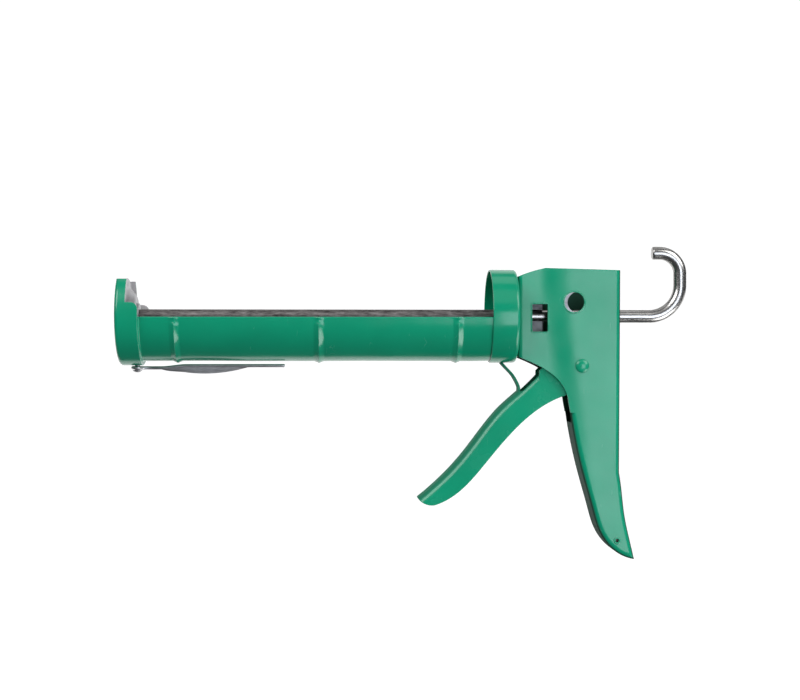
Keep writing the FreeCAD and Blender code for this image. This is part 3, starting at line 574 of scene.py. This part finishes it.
def pin_surfaces():
    """A wire that goes most of the way round its stud, then straight back under the barrel, over a blade.
    The blade's section is a wedge: 1.2 mm at the wire and thin at its curved lower edge."""
    a = np.linspace(0.55, TURN - 0.35, 60)
    eye = np.stack([PIN_AXIS + 2.75 * np.cos(a), 2.75 * np.sin(a), EYE_LEVEL + 0.1 * np.sin(a / 2)], -1)
    t = np.linspace(0, 1, 16)[1:, None]
    leave, knee = np.array([-220.5, 1.2, EYE_LEVEL]), np.array([-211.5, 0.0, EYE_LEVEL])
    out = (1 - t) ** 2 * eye[-1] + 2 * t * (1 - t) * leave + t ** 2 * knee
    x = np.concatenate([np.linspace(-211.5, -197.0, 12)[1:], np.linspace(-197.0, -142.0, 30)[1:],
                        [-138.6, -138.4, -138.15, -138.0, -138.0]])
    rise = EYE_LEVEL + (WIRE_LEVEL - EYE_LEVEL) * smoothstep((x + 211.5) / 14.5)
    path = np.concatenate([eye[:1], eye, out, np.stack([x, 0 * x, rise], -1)])
    radius = np.full(len(path), 1.0)
    radius[:3] = [0.0, 0.7, 0.95]
    radius[-5:] = [1.0, 0.97, 0.85, 0.69, 0.0]
    u = np.linspace(0, 1, 60)
    x = -214.0 + 56.3 * u
    top = EYE_LEVEL + (WIRE_LEVEL - EYE_LEVEL) * smoothstep((x + 211.5) / 14.5)
    low = top - 4.75 * np.sin(math.pi * u) ** 0.8
    v = np.linspace(0, 1, 10)[None, :]
    z = top[:, None] + (low - top)[:, None] * v
    thick = 0.6 * (1 - smoothstep((v - 0.45) / 0.55) * 0.85) + 0 * z
    thick[[0, -1]] *= 0.02
    near = np.stack([x[:, None] + 0 * z, -thick, z], -1)
    far = np.stack([x[:, None] + 0 * z, thick, z], -1)[:, ::-1]
    return [tube(path, radius, 24), solid_band(np.concatenate([near, far], 1))]


make("seal_pin", "piercing_pin", wire_steel, pin_surfaces(), ["piercing_pin"])

stud = np.array([(0.0, -2.7), (1.1, -2.6), (2.1, -2.2), (2.8, -1.6), (3.0, -1.35), (2.8, -1.3), (1.55, -1.3),
                 (1.5, -1.1), (1.5, 3.85), (1.9, 3.9), (1.9, 4.2), (1.6, 4.55), (0.0, 4.6)])
stud[:, 1] += EYE_LEVEL
make("pin_stud", "frame", zinc, [ring(np.swapaxes(turned_z(stud, PIN_AXIS), 0, 1), False)],
     ["piercing_pin_rivet"])


# ---- stage, light and camera ----

def stage_sweep():
    """A pale floor that starts just before the gun and curves up behind it."""
    a = np.linspace(0, math.pi / 2, 24)
    y = np.concatenate([[0.22, 0.6, 1.0], 1.4 + 0.6 * np.sin(a), [2.0]])
    z = np.concatenate([[-0.32] * 3, 0.28 - 0.6 * np.cos(a), [2.4]])
    x = np.array([-2.6, 2.6])
    across, back, up = np.broadcast_arrays(x[None, :], y[:, None], z[:, None])
    points = np.stack([across, back, up], -1)
    mesh = bpy.data.meshes.new("pale_floor")
    mesh.from_pydata(points.reshape(-1, 3).tolist(), [], quads(len(y), 2).tolist())
    mesh.shade_smooth()
    mat, tree, shader, place = nodes_of("pale floor")
    speck = ramp(tree, noise(tree, place, 8, 4.0), 0.3, 0.7)
    tree.links.new(mix(tree, speck, (0.42, 0.42, 0.42), (0.40, 0.40, 0.405)), shader.inputs["Base Color"])
    shader.inputs["Roughness"].default_value = 0.9
    shader.inputs["Emission Color"].default_value = (1, 1, 1, 1)
    shader.inputs["Emission Strength"].default_value = 0.8
    mesh.materials.append(mat)
    floor = bpy.data.objects.new("pale_floor", mesh)
    bpy.context.scene.collection.objects.link(floor)


def softbox(name, place, aim, width, height, radiance, colour=(1, 1, 1)):
    """A rectangular light of an even brightness that faces a point."""
    data = bpy.data.lights.new(name, "AREA")
    data.shape = "RECTANGLE"
    data.size, data.size_y = width, height
    data.energy = radiance * math.pi * width * height
    data.color = colour
    lamp = bpy.data.objects.new(name, data)
    lamp.location = place
    lamp.rotation_euler = (Vector(aim) - Vector(place)).to_track_quat("-Z", "Y").to_euler()
    bpy.context.scene.collection.objects.link(lamp)


stage_sweep()
softbox("side_window", (0.33, -0.96, -0.12), (0.03, 0, -0.12), 0.52, 0.58, 3.3, (0.93, 1.0, 1.12))
softbox("high_left", (-1.15, -0.95, 0.95), (-0.05, 0, 0), 1.1, 1.1, 4.9)
softbox("high_right", (1.15, -0.95, 0.95), (-0.05, 0, 0), 1.1, 1.1, 4.6)
softbox("high_front", (-0.1, -1.0, 1.15), (-0.05, 0, 0), 1.2, 1.0, 0.45)
softbox("low_right", (0.85, -0.45, -0.95), (-0.1, 0, 0), 0.8, 0.8, 4.6)
softbox("overhead", (0.0, 0.2, 1.3), (0, 0, 0), 1.6, 0.6, 0.8)

world = bpy.data.worlds.new("studio")
world.use_nodes = True
world.node_tree.nodes["Background"].inputs["Color"].default_value = (0.9, 0.95, 1.0, 1)
world.node_tree.nodes["Background"].inputs["Strength"].default_value = 0.08
bpy.context.scene.world = world
bpy.context.scene.view_settings.view_transform = "Standard"

eye = Vector((-0.1079, -0.898, -0.0204))
camera_data = bpy.data.cameras.new("camera")
camera_data.sensor_width = 36
camera_data.lens = 67.05
camera_data.clip_start, camera_data.clip_end = 0.05, 20
camera = bpy.data.objects.new("camera", camera_data)
camera.location = eye
camera.rotation_mode = "QUATERNION"
camera.rotation_quaternion = (Vector((-0.0687, 0, -0.0204)) - eye).to_track_quat("-Z", "Y")
bpy.context.scene.collection.objects.link(camera)
bpy.context.scene.camera = camera
